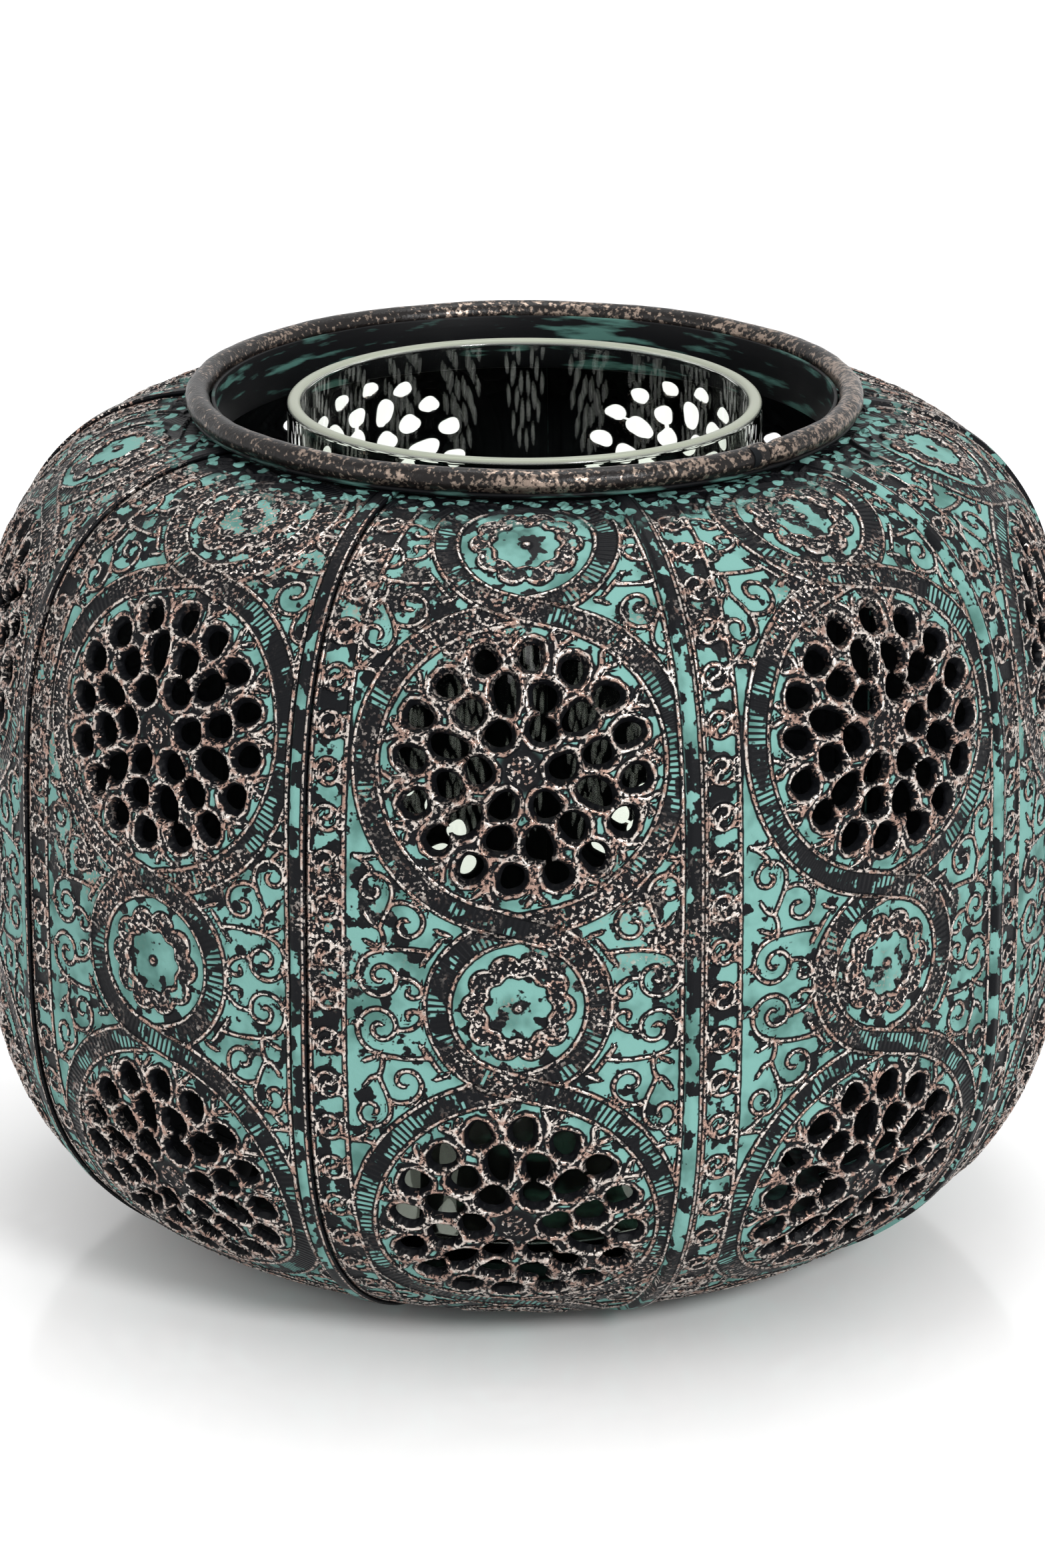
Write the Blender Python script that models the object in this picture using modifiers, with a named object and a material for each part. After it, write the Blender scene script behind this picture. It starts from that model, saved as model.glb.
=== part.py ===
"""Openwork tealight holder: a pot-bellied lantern of nine stamped sheet-metal panels, lapped and
soldered edge to edge, with a collar and a rolled bead at the neck, a flat base plate held by a foot
ring, and a loose glass cylinder that stands inside and holds the tealight.

Metres, +Z up. The origin is the centre of the footprint, on the table. -Y is the front.
"""

import math

import bmesh
import bpy
import numpy as np
from mathutils import Matrix, Vector

# Glass: a straight cylinder with a thick floor. The neck and the foot are sized around it.
GLASS_RADIUS = 0.0390
GLASS_WALL = 0.0023
GLASS_FLOOR = 0.0060
GLASS_HEIGHT = 0.1410
GLASS_LIP_FILLET = 0.0008
GLASS_HEEL_FILLET = 0.0022
GLASS_CLEARANCE = 0.0003  # between the glass and the plate that it stands on

# Body: radii and heights of the panels' outer surface.
PANEL_COUNT = 9
BELLY_RADIUS = 0.0900
BELLY_HEIGHT = 0.0704
NECK_HEIGHT = 0.1392
NECK_MARGIN = 0.0130  # how far the neck and the foot stand out beyond the glass
FOOT_MARGIN = 0.0093
SHEET = 0.0008
# How full the body's outline is, as powers of a quarter circle's sine and cosine.
SHOULDER_RISE, SHOULDER_REACH = 0.50, 0.99
SKIRT_RISE, SKIRT_REACH = 0.52, 1.59

# Seam: each panel's right edge is joggled out into a rib that laps its neighbour's left edge.
SEAM_TURN = math.radians(18.5)  # from the middle of a panel's pattern to the edge of its rib
RIB_WIDTH = 0.0023
JOGGLE_WIDTH = 0.0005
LAP_CLEARANCE = 0.00035

# Pierced medallions, two to a panel, measured along the meridian.
ROSETTE_HEIGHT = 0.0684  # height of the middle rosette, half-way between the two medallions
MEDALLION_PITCH = 0.0383  # from the rosette to a medallion
PATTERN_LEAN = 0.013  # the stamped pattern leans a little to the right as it climbs
# Each ring of holes: how many, ring radius, turn of the first, and (across, along the radius) sizes in turn.
HOLE_RINGS = (
    (6, 0.0067, math.radians(3.0), ((0.0036, 0.0039),)),
    (12, 0.0118, math.radians(12.6), ((0.0036, 0.0041), (0.0036, 0.0058))),
    (16, 0.0175, math.radians(18.2), ((0.0032, 0.0038),)),
)
HOLE_SIDES = 4

# Neck: a strip collar inside the panels, and a rolled bead round its top.
COLLAR_SHEET = 0.0007
COLLAR_GAP = 0.0006  # between the collar and the panels' upper edges
COLLAR_HEIGHT = 0.0090
BEAD_WIRE_RADIUS = 0.00195
BEAD_SEAT_GAP = 0.0003
BEAD_CLEARANCE = 0.0004  # between the panels' ribs and the underside of the bead
BEAD_JOINT_TURN = math.radians(45.0)  # the joint in the bead, to the right of the front
BEAD_JOINT_GAP = 0.0005

# Foot: a flat plate on the table, and on it a ring whose flange laps the panels inside.
PLATE_SHEET = 0.0008
PLATE_CLEARANCE = 0.0005  # between the plate and the panels' lower edges
FOOT_CLEARANCE = 0.00025  # between the table and the panels' ribs
RING_GAP = 0.0003  # between the plate and the ring
FLANGE_LAP = 0.0022
FLANGE_CLEARANCE = 0.0004

ROUND_STEPS = 40
BEAD_STEPS = 56
MERIDIAN_STEPS = 13
PANEL_STEPS = 5
OUTLINE_STEPS = 600
MERGE = 1e-5

PITCH = 2 * math.pi / PANEL_COUNT
RIB_RISE = SHEET + LAP_CLEARANCE
TUCK = RIB_WIDTH - SHEET - LAP_CLEARANCE  # how far the neighbour's edge runs in under the rib
NECK_RADIUS = GLASS_RADIUS + NECK_MARGIN
FOOT_RADIUS = GLASS_RADIUS + FOOT_MARGIN
FOOT_HEIGHT = RIB_RISE + FOOT_CLEARANCE
COLLAR_OUTER = NECK_RADIUS - COLLAR_GAP
COLLAR_INNER = COLLAR_OUTER - COLLAR_SHEET
BEAD_RADIUS = COLLAR_OUTER + BEAD_SEAT_GAP + BEAD_WIRE_RADIUS
BEAD_HEIGHT = NECK_HEIGHT + RIB_RISE + BEAD_CLEARANCE + BEAD_WIRE_RADIUS


class Outline:
    """The body's outer outline, as a function of the distance along it from the foot."""

    def __init__(self):
        turn = np.linspace(0, math.pi / 2, OUTLINE_STEPS)
        cos, sin = np.clip(np.cos(turn), 0, 1), np.sin(turn)
        skirt_r = FOOT_RADIUS + (BELLY_RADIUS - FOOT_RADIUS) * cos**SKIRT_REACH
        skirt_z = BELLY_HEIGHT - (BELLY_HEIGHT - FOOT_HEIGHT) * sin**SKIRT_RISE
        shoulder_r = NECK_RADIUS + (BELLY_RADIUS - NECK_RADIUS) * cos**SHOULDER_REACH
        shoulder_z = BELLY_HEIGHT + (NECK_HEIGHT - BELLY_HEIGHT) * sin**SHOULDER_RISE
        self.radius = np.concatenate([skirt_r[::-1], shoulder_r[1:]])
        self.height = np.concatenate([skirt_z[::-1], shoulder_z[1:]])
        steps = np.hypot(np.diff(self.radius), np.diff(self.height))
        self.along = np.concatenate([[0], np.cumsum(steps)])
        self.length = self.along[-1]

    def place(self, along):
        """(radius, height) at a distance from the foot."""
        radius = float(np.interp(along, self.along, self.radius))
        return radius, float(np.interp(along, self.along, self.height))

    def normal(self, along):
        """The outward normal's radial and upward parts."""
        step = self.length / OUTLINE_STEPS
        low = self.place(max(along - step, 0))
        high = self.place(min(along + step, self.length))
        climb = Vector((high[0] - low[0], high[1] - low[1])).normalized()
        return climb.y, -climb.x

    def along_at(self, height):
        return float(np.interp(height, self.height, self.along))


OUTLINE = Outline()


def direction(turn):
    """Horizontal unit vector, turned from the front (-Y) towards +X."""
    return Vector((math.sin(turn), -math.cos(turn), 0))


def skin_point(along, turn, out=0.0):
    """A point on the body's outer surface, moved out along its normal."""
    radius, height = OUTLINE.place(along)
    sideways, upward = OUTLINE.normal(along)
    return direction(turn) * (radius + out * sideways) + Vector((0, 0, height + out * upward))


def material(name, colour, roughness, metallic=0.0, transmission=0.0):
    made = bpy.data.materials.new(name)
    made.use_nodes = True
    shader = made.node_tree.nodes["Principled BSDF"]
    shader.inputs["Base Color"].default_value = (*colour, 1)
    shader.inputs["Roughness"].default_value = roughness
    shader.inputs["Metallic"].default_value = metallic
    shader.inputs["Transmission Weight"].default_value = transmission
    return made


def collection(name):
    made = bpy.data.collections.new(name)
    bpy.context.scene.collection.children.link(made)
    return made


def add_object(name, data, where):
    made = bpy.data.objects.new(name, data)
    where.objects.link(made)
    return made


def baked_mesh(obj):
    """The object's mesh with its modifiers applied."""
    bpy.context.view_layer.update()
    graph = bpy.context.evaluated_depsgraph_get()
    return bpy.data.meshes.new_from_object(obj.evaluated_get(graph))


def finish_mesh(mesh, finish):
    mesh.materials.clear()
    mesh.materials.append(finish)
    mesh.shade_smooth()
    mesh.set_sharp_from_angle(angle=math.radians(35))


def turned(name, profile, where, finish, ring=False):
    """A turned solid. Its (radius, height) profile runs out along the top and down the outer side."""
    mesh = bpy.data.meshes.new(name)
    edges = [(i, i + 1) for i in range(len(profile) - 1)]
    if ring:
        edges.append((len(profile) - 1, 0))
    mesh.from_pydata([(radius, 0, height) for radius, height in profile], edges, [])
    obj = add_object(name, mesh, where)
    screw = obj.modifiers.new("Turn", "SCREW")
    screw.steps = screw.render_steps = ROUND_STEPS
    screw.use_merge_vertices = True
    screw.merge_threshold = MERGE
    obj.data = baked_mesh(obj)
    obj.modifiers.clear()
    finish_mesh(obj.data, finish)


def fillet(centre_r, centre_z, radius, start, end, count=2):
    """Points of a quarter round between two directions, in degrees from +radius towards +height."""
    turns = [math.radians(start + (end - start) * i / count) for i in range(count + 1)]
    return [(centre_r + radius * math.cos(t), centre_z + radius * math.sin(t)) for t in turns]


def add_hole_cutter(bm, along, sideways, turn, across, deep):
    """A prism square to the sheet, with the cross-section area of the oval hole that it stands for."""
    around = sideways / OUTLINE.place(along)[0]
    place = skin_point(along, around)
    normal = (skin_point(along, around, SHEET) - place).normalized()
    right = direction(around + math.pi / 2)
    up = normal.cross(right)
    outward = right * math.cos(turn) + up * math.sin(turn)
    axes = Matrix((outward, normal.cross(outward), normal)).transposed().to_4x4()
    side = 2 * math.pi / HOLE_SIDES
    swell = math.sqrt(side / math.sin(side)) / 2
    size = Matrix.Diagonal((deep * swell, across * swell, 1, 1))
    bmesh.ops.create_cone(
        bm,
        cap_ends=True,
        segments=HOLE_SIDES,
        radius1=1,
        radius2=1,
        depth=6 * SHEET,
        matrix=Matrix.Translation(place) @ axes @ size @ Matrix.Rotation(side / 2, 4, "Z"),
    )


def hole_cutters(where):
    """One mesh of prisms that pierce both medallions of the front panel."""
    bm = bmesh.new()
    rosette = OUTLINE.along_at(ROSETTE_HEIGHT)
    for medallion in (rosette - MEDALLION_PITCH, rosette + MEDALLION_PITCH):
        middle = PATTERN_LEAN * (medallion - rosette)
        for count, ring, first, sizes in HOLE_RINGS:
            for i in range(count):
                turn = first + 2 * math.pi * i / count
                along = medallion + ring * math.sin(turn)
                add_hole_cutter(bm, along, middle + ring * math.cos(turn), turn, *sizes[i % len(sizes)])
    mesh = bpy.data.meshes.new("hole_cutters")
    bm.to_mesh(mesh)
    bm.free()
    cutters = add_object("hole_cutters", mesh, where)
    cutters.hide_render = True
    cutters.display_type = "WIRE"
    return cutters


def panel_sections(radius):
    """Where the sheet runs across a panel at this body radius: (turn, how far out of the body's skin)."""
    left = SEAM_TURN - PITCH - TUCK / radius
    rib = SEAM_TURN - RIB_WIDTH / radius
    joggle = rib - JOGGLE_WIDTH / radius
    flat = [(left + (joggle - left) * i / PANEL_STEPS, 0.0) for i in range(PANEL_STEPS + 1)]
    return flat + [(rib, RIB_RISE), (SEAM_TURN, RIB_RISE)]


def panel_mesh(cutters, finish):
    """The front panel: a grid bent to the body, given its thickness and pierced."""
    across = PANEL_STEPS + 2
    bpy.ops.mesh.primitive_grid_add(size=2, x_subdivisions=across, y_subdivisions=MERIDIAN_STEPS)
    sheet = bpy.context.object
    for vertex in sheet.data.vertices:
        along = OUTLINE.length * (vertex.co.y + 1) / 2
        section = round((vertex.co.x + 1) / 2 * across)
        vertex.co = skin_point(along, *panel_sections(OUTLINE.place(along)[0])[section])
    thicken = sheet.modifiers.new("Sheet", "SOLIDIFY")
    thicken.thickness = SHEET
    thicken.offset = -1
    thicken.use_even_offset = True
    pierce = sheet.modifiers.new("Pierce", "BOOLEAN")
    pierce.object = cutters
    mesh = baked_mesh(sheet)
    bpy.data.objects.remove(sheet)
    mesh.name = "panel"
    finish_mesh(mesh, finish)
    return mesh


def panels(where, cutters, finish):
    mesh = panel_mesh(cutters, finish)
    for i in range(PANEL_COUNT):
        panel = add_object(f"panel_{i + 1}", mesh, where)
        panel.rotation_euler.z = i * PITCH


def neck_collar(where, finish):
    bottom = BEAD_HEIGHT - COLLAR_HEIGHT
    profile = [
        (COLLAR_INNER, bottom),
        (COLLAR_INNER, BEAD_HEIGHT),
        (COLLAR_OUTER, BEAD_HEIGHT),
        (COLLAR_OUTER, bottom),
    ]
    turned("neck_collar", profile, where, finish, ring=True)


def rim_bead(where, finish):
    """A ring of round stock, bent until its ends nearly meet."""
    curve = bpy.data.curves.new("rim_bead", "CURVE")
    curve.dimensions = "3D"
    curve.bevel_depth = BEAD_WIRE_RADIUS
    curve.bevel_resolution = 2
    curve.use_fill_caps = True
    curve.materials.append(finish)
    half_gap = BEAD_JOINT_GAP / 2 / BEAD_RADIUS
    spline = curve.splines.new("POLY")
    spline.points.add(BEAD_STEPS)
    for i, point in enumerate(spline.points):
        swept = half_gap + 2 * (math.pi - half_gap) * i / BEAD_STEPS
        place = direction(BEAD_JOINT_TURN + swept) * BEAD_RADIUS
        point.co = (place.x, place.y, BEAD_HEIGHT, 1)
    add_object("rim_bead", curve, where)


def base_plate(where, finish):
    edge = FOOT_RADIUS - PLATE_CLEARANCE
    profile = [(0, PLATE_SHEET), (edge, PLATE_SHEET), (edge, 0), (0, 0)]
    turned("base_plate", profile, where, finish)


def foot_ring(where, finish):
    outer = FOOT_RADIUS - PLATE_CLEARANCE
    inner = outer - PLATE_SHEET
    bottom = PLATE_SHEET + RING_GAP
    lap_radius = FOOT_RADIUS + FLANGE_LAP
    # The panels' lowest row of faces is flat from edge to edge, and the flange lies above it.
    row_radius, row_height = OUTLINE.place(OUTLINE.length / MERIDIAN_STEPS)
    climb = (row_height - FOOT_HEIGHT) / (row_radius - FOOT_RADIUS)
    flange = FOOT_HEIGHT + climb * FLANGE_LAP + SHEET * math.hypot(1, climb) + FLANGE_CLEARANCE
    profile = [
        (inner, bottom),
        (inner, flange + PLATE_SHEET),
        (lap_radius, flange + PLATE_SHEET),
        (lap_radius, flange),
        (outer, flange),
        (outer, bottom),
    ]
    turned("foot_ring", profile, where, finish, ring=True)


def glass_insert(where, finish):
    bottom = PLATE_SHEET + GLASS_CLEARANCE
    top = bottom + GLASS_HEIGHT
    inner = GLASS_RADIUS - GLASS_WALL
    floor = bottom + GLASS_FLOOR
    lip, heel = GLASS_LIP_FILLET, GLASS_HEEL_FILLET
    profile = [(0, floor), (inner - lip, floor)]
    profile += fillet(inner - lip, floor + lip, lip, -90, 0)[1:]
    profile += fillet(inner + lip, top - lip, lip, 180, 90)
    profile += fillet(GLASS_RADIUS - lip, top - lip, lip, 90, 0)
    profile += fillet(GLASS_RADIUS - heel, bottom + heel, heel, 0, -90)
    profile += [(0, bottom)]
    turned("glass_insert", profile, where, finish)


def main():
    for old in list(bpy.data.objects):
        bpy.data.objects.remove(old)
    parts, cutters = collection("tealight_holder"), collection("cutters")
    patina = material("patinated_sheet", (0.16, 0.36, 0.32), 0.65)
    rubbed = material("rubbed_metal", (0.24, 0.20, 0.18), 0.35, metallic=1.0)
    black = material("blackened_sheet", (0.012, 0.012, 0.015), 0.6)
    glass = material("clear_glass", (0.92, 0.96, 0.94), 0.03, transmission=1.0)
    panels(parts, hole_cutters(cutters), patina)
    neck_collar(parts, black)
    rim_bead(parts, rubbed)
    base_plate(parts, black)
    foot_ring(parts, black)
    glass_insert(parts, glass)


main()
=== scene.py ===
"""Openwork tealight holder: the detailed surface that is built round the plain metal-and-glass model.

Nine stamped panels with braided medallions, scrolls and knotwork, a rolled bead and a collar at the
neck, a plate and a ring at the foot, and a loose glass cylinder. Lengths in the pattern are in
millimetres on the flat sheet: across from the middle of a panel's field, and along from its foot.
"""

import math

import bpy
import numpy as np
from mathutils import Matrix, Vector


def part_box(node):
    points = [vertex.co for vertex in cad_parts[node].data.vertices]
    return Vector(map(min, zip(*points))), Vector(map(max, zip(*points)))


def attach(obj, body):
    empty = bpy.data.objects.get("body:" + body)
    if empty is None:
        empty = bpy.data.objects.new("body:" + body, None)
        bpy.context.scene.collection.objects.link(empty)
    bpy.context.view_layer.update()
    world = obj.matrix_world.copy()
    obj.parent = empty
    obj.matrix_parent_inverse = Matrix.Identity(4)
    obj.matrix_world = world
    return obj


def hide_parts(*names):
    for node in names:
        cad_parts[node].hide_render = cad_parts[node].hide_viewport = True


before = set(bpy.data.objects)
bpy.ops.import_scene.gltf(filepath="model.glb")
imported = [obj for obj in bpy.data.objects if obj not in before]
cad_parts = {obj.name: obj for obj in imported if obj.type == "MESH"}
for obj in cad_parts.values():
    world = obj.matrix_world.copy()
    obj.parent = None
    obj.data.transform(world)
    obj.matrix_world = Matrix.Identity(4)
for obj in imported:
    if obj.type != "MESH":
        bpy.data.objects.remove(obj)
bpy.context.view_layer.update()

bl_info = {
    "name": "Openwork tealight holder",
    "version": (1, 0, 0),
    "blender": (4, 5, 0),
    "location": "3D View > Sidebar > Tealight holder",
    "description": "Builds the stamped, patinated surface of an openwork tealight holder",
    "category": "Add Mesh",
}

MM = 0.001
PANELS = sorted(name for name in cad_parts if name.startswith("panel_"))
FRONT = -math.pi / 2


def box_radius(node):
    """Half of a round node's width, in metres."""
    low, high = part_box(node)
    return (high.x - low.x) / 2


def linear(hex_colour):
    """Linear red, green and blue of an sRGB hex colour."""
    values = [int(hex_colour[i : i + 2], 16) / 255 for i in (1, 3, 5)]
    return tuple(v / 12.92 if v <= 0.04045 else ((v + 0.055) / 1.055) ** 2.4 for v in values)


def length(name, description, metres):
    return bpy.props.FloatProperty(
        name=name, description=description, default=metres, min=0, unit="LENGTH", subtype="DISTANCE"
    )


def colour(name, description, hex_colour):
    return bpy.props.FloatVectorProperty(
        name=name, description=description, default=linear(hex_colour), min=0, max=1, subtype="COLOR"
    )


class BodySizes(bpy.types.PropertyGroup):
    belly_radius: length("Belly radius", "Radius of the body at its widest", 0.0900)
    belly_height: length("Belly height", "Height of the widest place", 0.0704)
    neck_radius: length("Neck radius", "Radius of the panels' upper edges", 0.0520)
    neck_height: length("Neck height", "Height of the panels' upper edges", 0.1392)
    foot_radius: length("Foot radius", "Radius of the panels' lower edges", 0.0483)
    foot_height: length("Foot height", "Height of the panels' lower edges", 0.0014)
    sheet: length("Sheet", "Thickness of the panels' metal", 0.0007)
    rib_rise: length("Rib rise", "How far a lapped rib stands off its neighbour's surface", 0.00095)
    rib_width: length("Rib width", "Width of the lapped rib", 0.0023)
    glass_wall: length("Glass wall", "Thickness of the glass cylinder's wall", 0.0023)
    glass_floor: length("Glass floor", "Thickness of the glass cylinder's floor", 0.0060)
    seam_turn: bpy.props.FloatProperty(
        name="Seam turn",
        description="From the middle of a panel's field to the edge of its rib",
        default=math.radians(18.5),
        subtype="ANGLE",
    )


class PatternSizes(bpy.types.PropertyGroup):
    rosette_height: length("Rosette height", "Height of the middle rosette", 0.0684)
    pitch: length("Pitch", "From a rosette to the next medallion", 0.0383)
    big_ring: length("Medallion ring", "Radius of the band round a medallion", 0.0244)
    small_ring: length("Rosette ring", "Radius of the band round a rosette", 0.01265)
    band: length("Band", "Width of the braided band", 0.0039)
    strip: length("Knot strip", "Width of the knotwork strip", 0.0062)
    line: length("Raised line", "Width of a raised line's crest", 0.00052)
    relief: length("Relief", "Height of a raised line", 0.00040)
    lean: bpy.props.FloatProperty(
        name="Lean", description="Sideways drift of the pattern as it climbs", default=0.013
    )


class FinishColours(bpy.types.PropertyGroup):
    patina: colour("Patina", "Teal verdigris in the hollows", "#6B9790")
    patina_deep: colour("Deep patina", "Thin or dirty verdigris", "#466B64")
    charcoal: colour("Charcoal", "Black oxide beside the raised lines", "#0C0D10")
    copper: colour("Copper", "Metal that the rubbing bared, warm", "#A08478")
    silver: colour("Silver", "Metal that the rubbing bared, bright", "#CEC4BC")
    soot: colour("Soot", "The blackened inside", "#0A0B0D")


# ---------------------------------------------------------------- the body's outline and its surface


class Skin:
    """The body's outer surface: the outline turned about the vertical, with its normals."""

    STEPS = 1500
    # How full each quarter of the outline is, across and up: 1 and 1 would be an ellipse.
    SKIRT = (1.59, 0.52)
    SHOULDER = (0.99, 0.5)

    def __init__(self, sizes):
        turn = np.linspace(0, math.pi / 2, self.STEPS)
        cos, sin = np.clip(np.cos(turn), 0, 1), np.sin(turn)
        skirt_r = sizes.foot_radius + (sizes.belly_radius - sizes.foot_radius) * cos ** self.SKIRT[0]
        skirt_z = sizes.belly_height - (sizes.belly_height - sizes.foot_height) * sin ** self.SKIRT[1]
        shoulder_r = sizes.neck_radius + (sizes.belly_radius - sizes.neck_radius) * cos ** self.SHOULDER[0]
        shoulder_z = sizes.belly_height + (sizes.neck_height - sizes.belly_height) * sin ** self.SHOULDER[1]
        radius = np.concatenate([skirt_r[::-1], shoulder_r[1:]]) / MM
        height = np.concatenate([skirt_z[::-1], shoulder_z[1:]]) / MM
        steps = np.hypot(np.diff(radius), np.diff(height))
        along = np.concatenate([[0], np.cumsum(steps)])
        self.length = along[-1]
        # Evenly spaced, so that the normals are smooth.
        self.along = np.linspace(0, self.length, self.STEPS)
        self.radii = np.interp(self.along, along, radius)
        self.heights = np.interp(self.along, along, height)
        self.climb_r = np.gradient(self.radii, self.along)
        self.climb_z = np.gradient(self.heights, self.along)

    def radius(self, along):
        return np.interp(along, self.along, self.radii)

    def along_at(self, height):
        return float(np.interp(height, self.heights, self.along))

    def points(self, across, along, out):
        """Points in metres at places on the flat pattern, moved out along the normal."""
        radius = self.radius(along)
        climb_r = np.interp(along, self.along, self.climb_r)
        climb_z = np.interp(along, self.along, self.climb_z)
        size = np.hypot(climb_r, climb_z)
        turn = FRONT + across / radius
        reach = radius + out * climb_z / size
        height = np.interp(along, self.along, self.heights) - out * climb_r / size
        return np.stack([reach * np.cos(turn), reach * np.sin(turn), height], 1) * MM


# ---------------------------------------------------------------- lines of the pattern


def spiral(centre, start_radius, end_radius, start, sweep, ease=1.0, points=40):
    """A scroll that winds inwards. Turns are in degrees, from outwards towards away from the rosette."""
    part = np.linspace(0, 1, points)
    radius = end_radius + (start_radius - end_radius) * (1 - part) ** ease
    turn = np.radians(start + sweep * part)
    return np.stack([centre[0] + radius * np.cos(turn), centre[1] + radius * np.sin(turn)], 1)


def flowing(*corners):
    """A smooth line through a few places."""
    corners = np.array(corners, float)
    padded = np.concatenate([2 * corners[:1] - corners[1:2], corners, 2 * corners[-1:] - corners[-2:-1]])
    part = np.linspace(0, 1, 7)[:-1, None]
    pieces = []
    for a, b, c, d in zip(padded, padded[1:], padded[2:], padded[3:]):
        cubic = 2 * b + (c - a) * part
        cubic += (2 * a - 5 * b + 4 * c - d) * part**2 + (3 * b - a - 3 * c + d) * part**3
        pieces.append(cubic / 2)
    return np.concatenate(pieces + [corners[-1:]])


def scroll_lines():
    """The scrolls in a corner beside a rosette: across and away from the rosette's centre."""
    stem = (18.8, 4.4), (17.4, 4.3), (16.1, 3.7), (15.1, 2.6)
    crook = (15.1, 1.6), (16.2, 1.1), (17.3, 1.4), (17.2, 2.2)
    return [
        spiral((21.6, 4.2), 4.3, 0.6, 88, -540),
        flowing(*stem, *crook),
        flowing((21.8, 8.7), (18.0, 9.0), (15.2, 8.9), (14.1, 8.6), (15.1, 6.8)),
        flowing((15.1, 6.8), (13.9, 8.3), (13.1, 9.5), (12.2, 10.7)),
        flowing((11.0, 11.6), (12.7, 12.2)),
        flowing((21.2, 9.0), (21.3, 10.8), (21.9, 12.2), (23.0, 12.7), (24.2, 14.3)),
        flowing((22.6, 9.2), (24.1, 9.9)),
        flowing((21.9, 12.2), (21.2, 13.8), (20.4, 15.6), (19.9, 17.4)),
        spiral((17.7, 13.0), 4.0, 0.7, 50, 405, 1.3),
        spiral((23.0, 18.4), 3.2, 0.7, 196, -400),
        flowing((22.6, 20.5), (23.4, 21.8), (24.6, 22.9), (26.0, 23.6)),
        flowing((21.6, 24.6), (23.4, 23.8), (25.9, 23.7)),
        flowing((24.8, 3.4), (25.9, 3.8)),
    ]


def knot_lines():
    """One ring knot of the strip: across from the strip's middle and along from the knot's."""
    ring = spiral((0, 0), 2.0, 2.0, 0, 360, points=25)
    upper = spiral((0, 1.0), 0.95, 0.95, -90, 200, points=10)
    lower = spiral((0, -1.0), 0.95, 0.95, 90, 200, points=10)
    arms = [
        flowing((-2.0, 0.2), (-2.5, 0.8), (-3.0, 2.0)),
        flowing((2.0, 0.9), (2.5, 1.3), (3.0, 1.5)),
        flowing((1.6, -1.3), (2.3, -1.6), (3.0, -1.5)),
    ]
    return [ring, upper, lower, *arms]


def flame_lines(ring):
    """A forked tongue between each two outer holes, reaching towards the band."""
    count = HOLE_RINGS[-1][0]
    lines = []
    for i in range(count):
        middle = 360 * (i + 0.5) / count + OUTER_TURN
        for lean in (-3.6, 4.2):
            turns = [math.radians(middle + lean * share) for share in (0, 0.25, 1)]
            lines.append(flowing(*((r * math.cos(t), r * math.sin(t)) for r, t in zip(ring, turns))))
    return lines


def from_lines(across, along, lines, at_once=4000):
    """Signed distance to the nearest line, how far along it, and the direction in which it runs across."""
    starts = np.concatenate([line[:-1] for line in lines])
    ends = np.concatenate([line[1:] for line in lines])
    runs = [np.concatenate([[0], np.cumsum(np.hypot(*(line[1:] - line[:-1]).T))])[:-1] for line in lines]
    run = np.concatenate(runs)
    step = ends - starts
    size = np.hypot(*step.T)
    side, travelled, heading = (np.empty(len(across)) for _ in range(3))
    for first in range(0, len(across), at_once):
        part = slice(first, first + at_once)
        dx = across[part, None] - starts[:, 0]
        dy = along[part, None] - starts[:, 1]
        share = np.clip((dx * step[:, 0] + dy * step[:, 1]) / size**2, 0, 1)
        far = np.hypot(dx - share * step[:, 0], dy - share * step[:, 1])
        nearest = far.argmin(1)
        row = np.arange(len(nearest))
        cross = step[nearest, 0] * dy[row, nearest] - step[nearest, 1] * dx[row, nearest]
        side[part] = np.where(cross < 0, -1, 1) * far[row, nearest]
        travelled[part] = run[nearest] + share[row, nearest] * size[nearest]
        heading[part] = step[nearest, 0]
    return side, travelled, heading


# ---------------------------------------------------------------- the pierced medallions

OUTER_TURN = 18.2
# Each ring of holes: how many, the ring's radius, the first one's turn in degrees, and the half sizes
# across and along the radius.
HOLE_RINGS = (
    (6, 6.7, 3.0, ((1.95, 2.05),)),
    (12, 11.8, 12.6, ((1.95, 2.10), (1.85, 2.95))),
    (16, 17.4, OUTER_TURN, ((1.75, 1.95),)),
)
# 2 would make each hole an ellipse, and more makes it squarer.
HOLE_SQUARENESS = 2.3
FLAME_RADII = (17.8, 19.8, 21.4)


def medallion_holes():
    """Holes round a medallion's centre: place, turn and half sizes, a little uneven as if cut by hand."""
    chance = np.random.RandomState(7)
    holes = []
    for count, ring, first, sizes in HOLE_RINGS:
        for i in range(count):
            turn = math.radians(first + 360 * i / count)
            across, deep = sizes[i % len(sizes)]
            reach = ring + chance.uniform(-0.35, 0.35)
            place = turn + chance.uniform(-0.02, 0.02)
            swell = chance.uniform(0.93, 1.07)
            centre = (reach * math.cos(place), reach * math.sin(place))
            holes.append((centre, turn + chance.uniform(-0.2, 0.2), deep * swell, across / swell))
    return holes


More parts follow.
